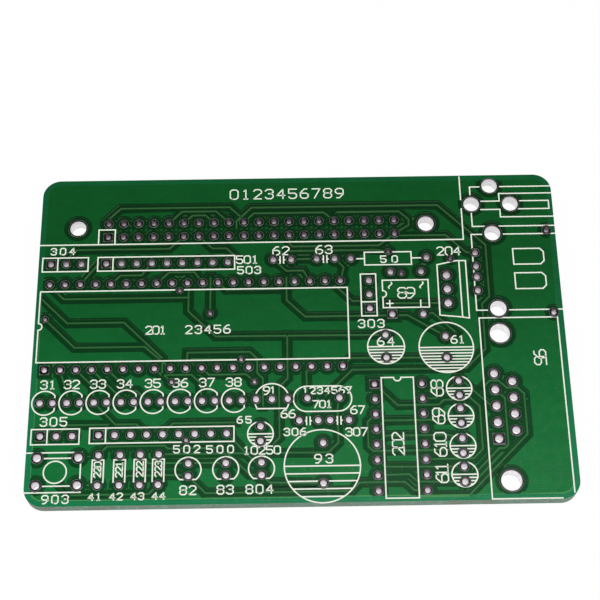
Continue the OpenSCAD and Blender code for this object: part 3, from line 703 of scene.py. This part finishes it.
def ribbon(path, points, faces):
    """Adds a flat stroke with round ends and mitred bends, as thick as the printed ink."""
    h = STROKE / 2
    left, right = [], []
    for i, p in enumerate(path):
        into = (path[max(i, 1)] - path[max(i, 1) - 1]).normalized()
        out = (path[min(i + 1, len(path) - 1)] - path[min(i, len(path) - 2)]).normalized()
        n = Vector((-into.y - out.y, into.x + out.x))
        n *= h / max(1 + into.dot(out), MITRE_LIMIT)
        left.append(p + n)
        right.append(p - n)

    def cap(middle, start, turn):
        arm = start - middle
        return [middle + Vector((
            arm.x * math.cos(a) - arm.y * math.sin(a), arm.x * math.sin(a) + arm.y * math.cos(a),
        )) for a in (turn * k / CAP for k in range(1, CAP))]

    first = len(points)
    count = len(path)
    rim = right + cap(path[-1], right[-1], math.pi) + left[::-1] + cap(path[0], left[0], math.pi)
    for z in (TOP, INK_TOP):
        points += [(p.x, p.y, z) for p in rim]
    size = len(rim)

    def at(k, upper):
        return first + k % size + (size if upper else 0)

    for upper in (False, True):
        quads = [(k, k + 1, size - CAP - k - 1, size - CAP - k) for k in range(count - 1)]
        ends = [list(range(count - 1, count + CAP)), list(range(size - CAP, size)) + [0]]
        for face in quads + ends:
            ring = [at(k, upper) for k in face]
            faces.append(ring if upper else ring[::-1])
    for k in range(size):
        faces.append((at(k, False), at(k + 1, False), at(k + 1, True), at(k, True)))


points, faces = [], []
for label in LABELS:
    for path in strokes_of(*label):
        for run in trimmed(path):
            ribbon(run, points, faces)
add_piece("printed_numbers", points, faces, "ink")


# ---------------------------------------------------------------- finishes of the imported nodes

SLOT_OF = {part["node"]: part["material_slot"] for part in frame["record"]["subparts"]}
for name, node in frame["nodes"].items():
    if not node.material_slots:
        node.data.materials.append(None)
    for held in node.material_slots:
        held.material = FINISHES[SLOT_OF[name]]


# ---------------------------------------------------------------- studio

WHITE = (1.0, 1.0, 1.0, 1.0)
# Share of plain white in what the camera sees of the floor, and how far it lies under the board
FLOOR_WHITE = 0.96
FLOOR_DROP = 0.02 * MM
# Strength of the world for matt surfaces, and for gloss at the horizon and overhead
WORLD_FILL = 0.42
WORLD_GLOSS = 1.0, 0.05


def floor_finish():
    """Pale floor, nearly plain white to the camera, gloss and glass, with some of its shadow."""
    made = bpy.data.materials.new("studio_floor")
    made.use_nodes = True
    g = Graph(made.node_tree)
    rays = g.add("LightPath").outputs
    seen = g.math("MAXIMUM", rays["Is Camera Ray"], rays["Is Glossy Ray"])
    seen = g.math("MAXIMUM", seen, rays["Is Transmission Ray"])
    grain = g.ease(g.noise(20 * MM, 3), 0.3, 0.7, 0.84, 0.88)
    paper = g.add("BsdfDiffuse", {"Color": g.grey(grain)}).outputs[0]
    white = g.add("Emission", {"Color": WHITE, "Strength": 1.0}).outputs[0]
    share = g.math("MULTIPLY", seen, FLOOR_WHITE)
    shown = g.add("MixShader", {0: share, 1: paper, 2: white}).outputs[0]
    g.add("OutputMaterial", {0: shown})
    return made


def make_floor(size):
    half = size / 2
    mesh = bpy.data.meshes.new("floor")
    square = [(-half, -half), (half, -half), (half, half), (-half, half)]
    mesh.from_pydata([(x, y, -FLOOR_DROP) for x, y in square], [], [(0, 1, 2, 3)])
    mesh.materials.append(floor_finish())
    floor = bpy.data.objects.new("floor", mesh)
    bpy.context.scene.collection.objects.link(floor)


def make_world():
    """White round the horizon and dark overhead for gloss, an even fill for matt surfaces."""
    world = bpy.data.worlds.new("studio")
    bpy.context.scene.world = world
    world.use_nodes = True
    g = Graph(world.node_tree)
    rays = g.add("LightPath").outputs
    up = g.add("SeparateXYZ", {0: g.add("TexCoord").outputs["Generated"]}).outputs["Z"]
    gloss = g.ease(up, 0.25, 0.7, *WORLD_GLOSS)
    glossy = g.math("MAXIMUM", rays["Is Glossy Ray"], rays["Is Transmission Ray"])
    level = g.add("Mix", {0: glossy, 2: WORLD_FILL, 3: gloss}, data_type="FLOAT").outputs[0]
    level = g.math("MAXIMUM", level, rays["Is Camera Ray"])
    shown = g.add("Background", {"Color": WHITE, "Strength": level}).outputs[0]
    g.add("OutputWorld", {0: shown})


def softbox(name, place, size, power):
    """A square soft lamp that faces the board."""
    lamp = bpy.data.lights.new(name, "AREA")
    lamp.shape = "SQUARE"
    lamp.size = size
    lamp.energy = power
    made = bpy.data.objects.new(name, lamp)
    made.location = place
    made.rotation_mode = "QUATERNION"
    made.rotation_quaternion = (-Vector(place)).to_track_quat("-Z", "Y")
    bpy.context.scene.collection.objects.link(made)


make_floor(4.0)
make_world()
softbox("left_lamp", (-0.55, -0.25, 0.55), 0.45, 3.2)
softbox("right_lamp", (0.55, -0.30, 0.50), 0.45, 2.6)
softbox("top_lamp", (0.10, -0.02, 0.75), 0.30, 1.2)


# ---------------------------------------------------------------- camera

CAMERA_AT = Vector((-0.95, -91.0, 214.7)) * MM
CAMERA_AIM = Vector((0.152, 5.73, 2.4)) * MM
CAMERA_ROLL = math.radians(-0.27)
CAMERA_LENS = 84.8

camera_data = bpy.data.cameras.new("camera")
camera_data.lens = CAMERA_LENS
camera_data.sensor_width = 36
camera_data.clip_start = 0.01
camera_data.clip_end = 20
camera = bpy.data.objects.new("camera", camera_data)
camera.location = CAMERA_AT
camera.rotation_mode = "QUATERNION"
aim = (CAMERA_AIM - CAMERA_AT).to_track_quat("-Z", "Y")
camera.rotation_quaternion = aim @ Quaternion((0, 0, 1), CAMERA_ROLL)
bpy.context.scene.collection.objects.link(camera)
bpy.context.scene.camera = camera

bpy.context.scene.view_settings.view_transform = "Standard"
